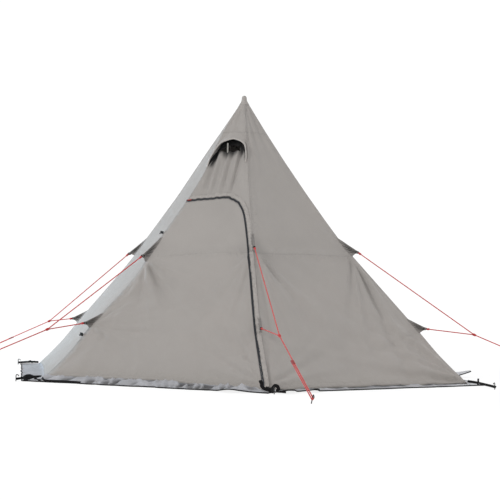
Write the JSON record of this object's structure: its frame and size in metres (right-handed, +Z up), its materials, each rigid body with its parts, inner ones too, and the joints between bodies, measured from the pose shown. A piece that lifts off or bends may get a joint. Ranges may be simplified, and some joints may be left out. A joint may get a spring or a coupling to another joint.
{
  "type": "pyramid tent",
  "caption": "Pyramid tent on a single centre pole, with a six-sided plan, an arched zip door, hooded vents, a ground skirt, pull-out tabs, guy lines and pegs.",
  "frame": {"origin": "on the ground under the middle of the pole, at the bottom of its foot", "axes": "+Z up along the pole, the door faces -Y, +X to the right seen from outside the door"},
  "size_m": [5.8374, 4.4912, 2.5619],
  "materials": {
    "canopy_cloth": "matte woven cotton blend",
    "crown_cloth": "matte woven cotton blend",
    "skirt_cloth": "thin coated cloth",
    "black_webbing": "woven strap",
    "zip_tape": "zip tape with plastic teeth",
    "vent_net": "fine net",
    "red_cord": "braided cord",
    "red_pull": "satin",
    "steel_wire": "satin",
    "pole_metal": "anodised",
    "black_plastic": "satin",
    "foot_rubber": "matte",
    "pale_stay": "matte"
  },
  "bodies": {
    "tent": {"back_panel": "canopy_cloth", "back_skirt": "skirt_cloth", "corner_peg_back_left": "steel_wire", "corner_peg_back_right": "steel_wire", "corner_peg_front_left": "steel_wire", "corner_peg_front_right": "steel_wire", "corner_peg_left": "steel_wire", "corner_peg_right": "steel_wire", "corner_strap_back_left": "black_webbing", "corner_strap_back_right": "black_webbing", "corner_strap_front_left": "black_webbing", "corner_strap_front_right": "black_webbing", "corner_strap_left": "black_webbing", "corner_strap_right": "black_webbing", "crown_cap": "crown_cloth", "door_panel": "canopy_cloth", "door_zip": "zip_tape", "front_skirt_end": "skirt_cloth", "guy_line_front_left": "red_cord", "guy_line_front_right": "red_cord", "guy_line_left": "red_cord", "guy_line_right": "red_cord", "guy_peg_front_left": "steel_wire", "guy_peg_front_right": "steel_wire", "guy_peg_left": "steel_wire", "guy_peg_right": "steel_wire", "left_back_panel": "canopy_cloth", "left_back_skirt": "skirt_cloth", "left_front_panel": "canopy_cloth", "left_front_skirt": "skirt_cloth", "pole_bottom_section": "pole_metal", "pole_foot": "foot_rubber", "pole_lower_section": "pole_metal", "pole_tip": "black_plastic", "pole_top_section": "pole_metal", "pole_upper_section": "pole_metal", "right_back_panel": "canopy_cloth", "right_back_skirt": "skirt_cloth", "right_front_panel": "canopy_cloth", "right_front_skirt": "skirt_cloth", "vent_hood_back": "crown_cloth", "vent_hood_front": "crown_cloth", "vent_mesh_back": "vent_net", "vent_mesh_front": "vent_net"},
    "door": {"door_flap": "canopy_cloth", "door_skirt": "skirt_cloth"},
    "upper_slider": {"zip_slider_upper": "black_plastic"},
    "upper_pull": {"zip_pull_upper": "red_pull"},
    "lower_slider": {"zip_slider_lower": "black_plastic"},
    "lower_pull": {"zip_pull_lower": "red_pull"},
    "front_prop": {"vent_prop_front": "pale_stay"},
    "back_prop": {"vent_prop_back": "pale_stay"},
    "upper_toggle": {"door_toggle_upper": "black_plastic"},
    "lower_toggle": {"door_toggle_lower": "black_plastic"},
    "runner_front_right": {"guy_runner_front_right": "black_plastic"},
    "runner_right": {"guy_runner_right": "black_plastic"},
    "runner_left": {"guy_runner_left": "black_plastic"},
    "runner_front_left": {"guy_runner_front_left": "black_plastic"}
  },
  "joints": [
    {"name": "door_fold", "type": "hinge", "parent": "tent", "child": "door", "pos_m": [-0.92, -1.73, 0], "axis": [-0.3146, -0.5917, -0.7423], "range_deg": [0, 90]},
    {"name": "upper_slider_run", "type": "slide", "parent": "tent", "child": "upper_slider", "axis": [0.9956, 0.0518, 0.0787], "range_m": [-0.02, 0.22]},
    {"name": "upper_pull_flip", "type": "hinge", "parent": "upper_slider", "child": "upper_pull", "pos_m": [-0.25491, -0.57482, 1.46233], "axis": [0.0942, -0.547, -0.8318], "range_deg": [0, 150]},
    {"name": "lower_slider_run", "type": "slide", "parent": "tent", "child": "lower_slider", "axis": [-0.3222, 0.5999, 0.7323], "range_m": [-0.02, 0.74]},
    {"name": "lower_pull_flip", "type": "hinge", "parent": "lower_slider", "child": "lower_pull", "pos_m": [0.64202, -1.29602, 0.51674], "axis": [-0.9467, -0.2042, -0.2493], "range_deg": [0, 150]},
    {"name": "front_prop_fold", "type": "hinge", "parent": "tent", "child": "front_prop", "pos_m": [-0.0184, -0.30102, 1.88352], "axis": [1, 0, 0], "range_deg": [0, 120]},
    {"name": "back_prop_fold", "type": "hinge", "parent": "tent", "child": "back_prop", "pos_m": [0.0184, 0.30102, 1.88352], "axis": [-1, 0, 0], "range_deg": [0, 120]},
    {"name": "runner_front_right_run", "type": "slide", "parent": "tent", "child": "runner_front_right", "axis": [0.5536, -0.6909, -0.465], "range_m": [-0.2, 0.25]},
    {"name": "runner_right_run", "type": "slide", "parent": "tent", "child": "runner_right", "axis": [0.9316, 0, -0.3634], "range_m": [-0.2, 0.25]},
    {"name": "runner_left_run", "type": "slide", "parent": "tent", "child": "runner_left", "axis": [-0.9246, 0, -0.381], "range_m": [-0.2, 0.25]},
    {"name": "runner_front_left_run", "type": "slide", "parent": "tent", "child": "runner_front_left", "axis": [-0.4408, -0.8289, -0.3445], "range_m": [-0.2, 0.25]},
    {"name": "upper_toggle_lift", "type": "hinge", "parent": "tent", "child": "upper_toggle", "pos_m": [-0.41243, -0.72919, 1.18722], "axis": [-0.5296, 0.8483, 0], "range_deg": [0, 85]},
    {"name": "lower_toggle_lift", "type": "hinge", "parent": "tent", "child": "lower_toggle", "pos_m": [-0.76591, -1.39475, 0.35389], "axis": [-0.5296, 0.8483, 0], "range_deg": [0, 85]}
  ]
}
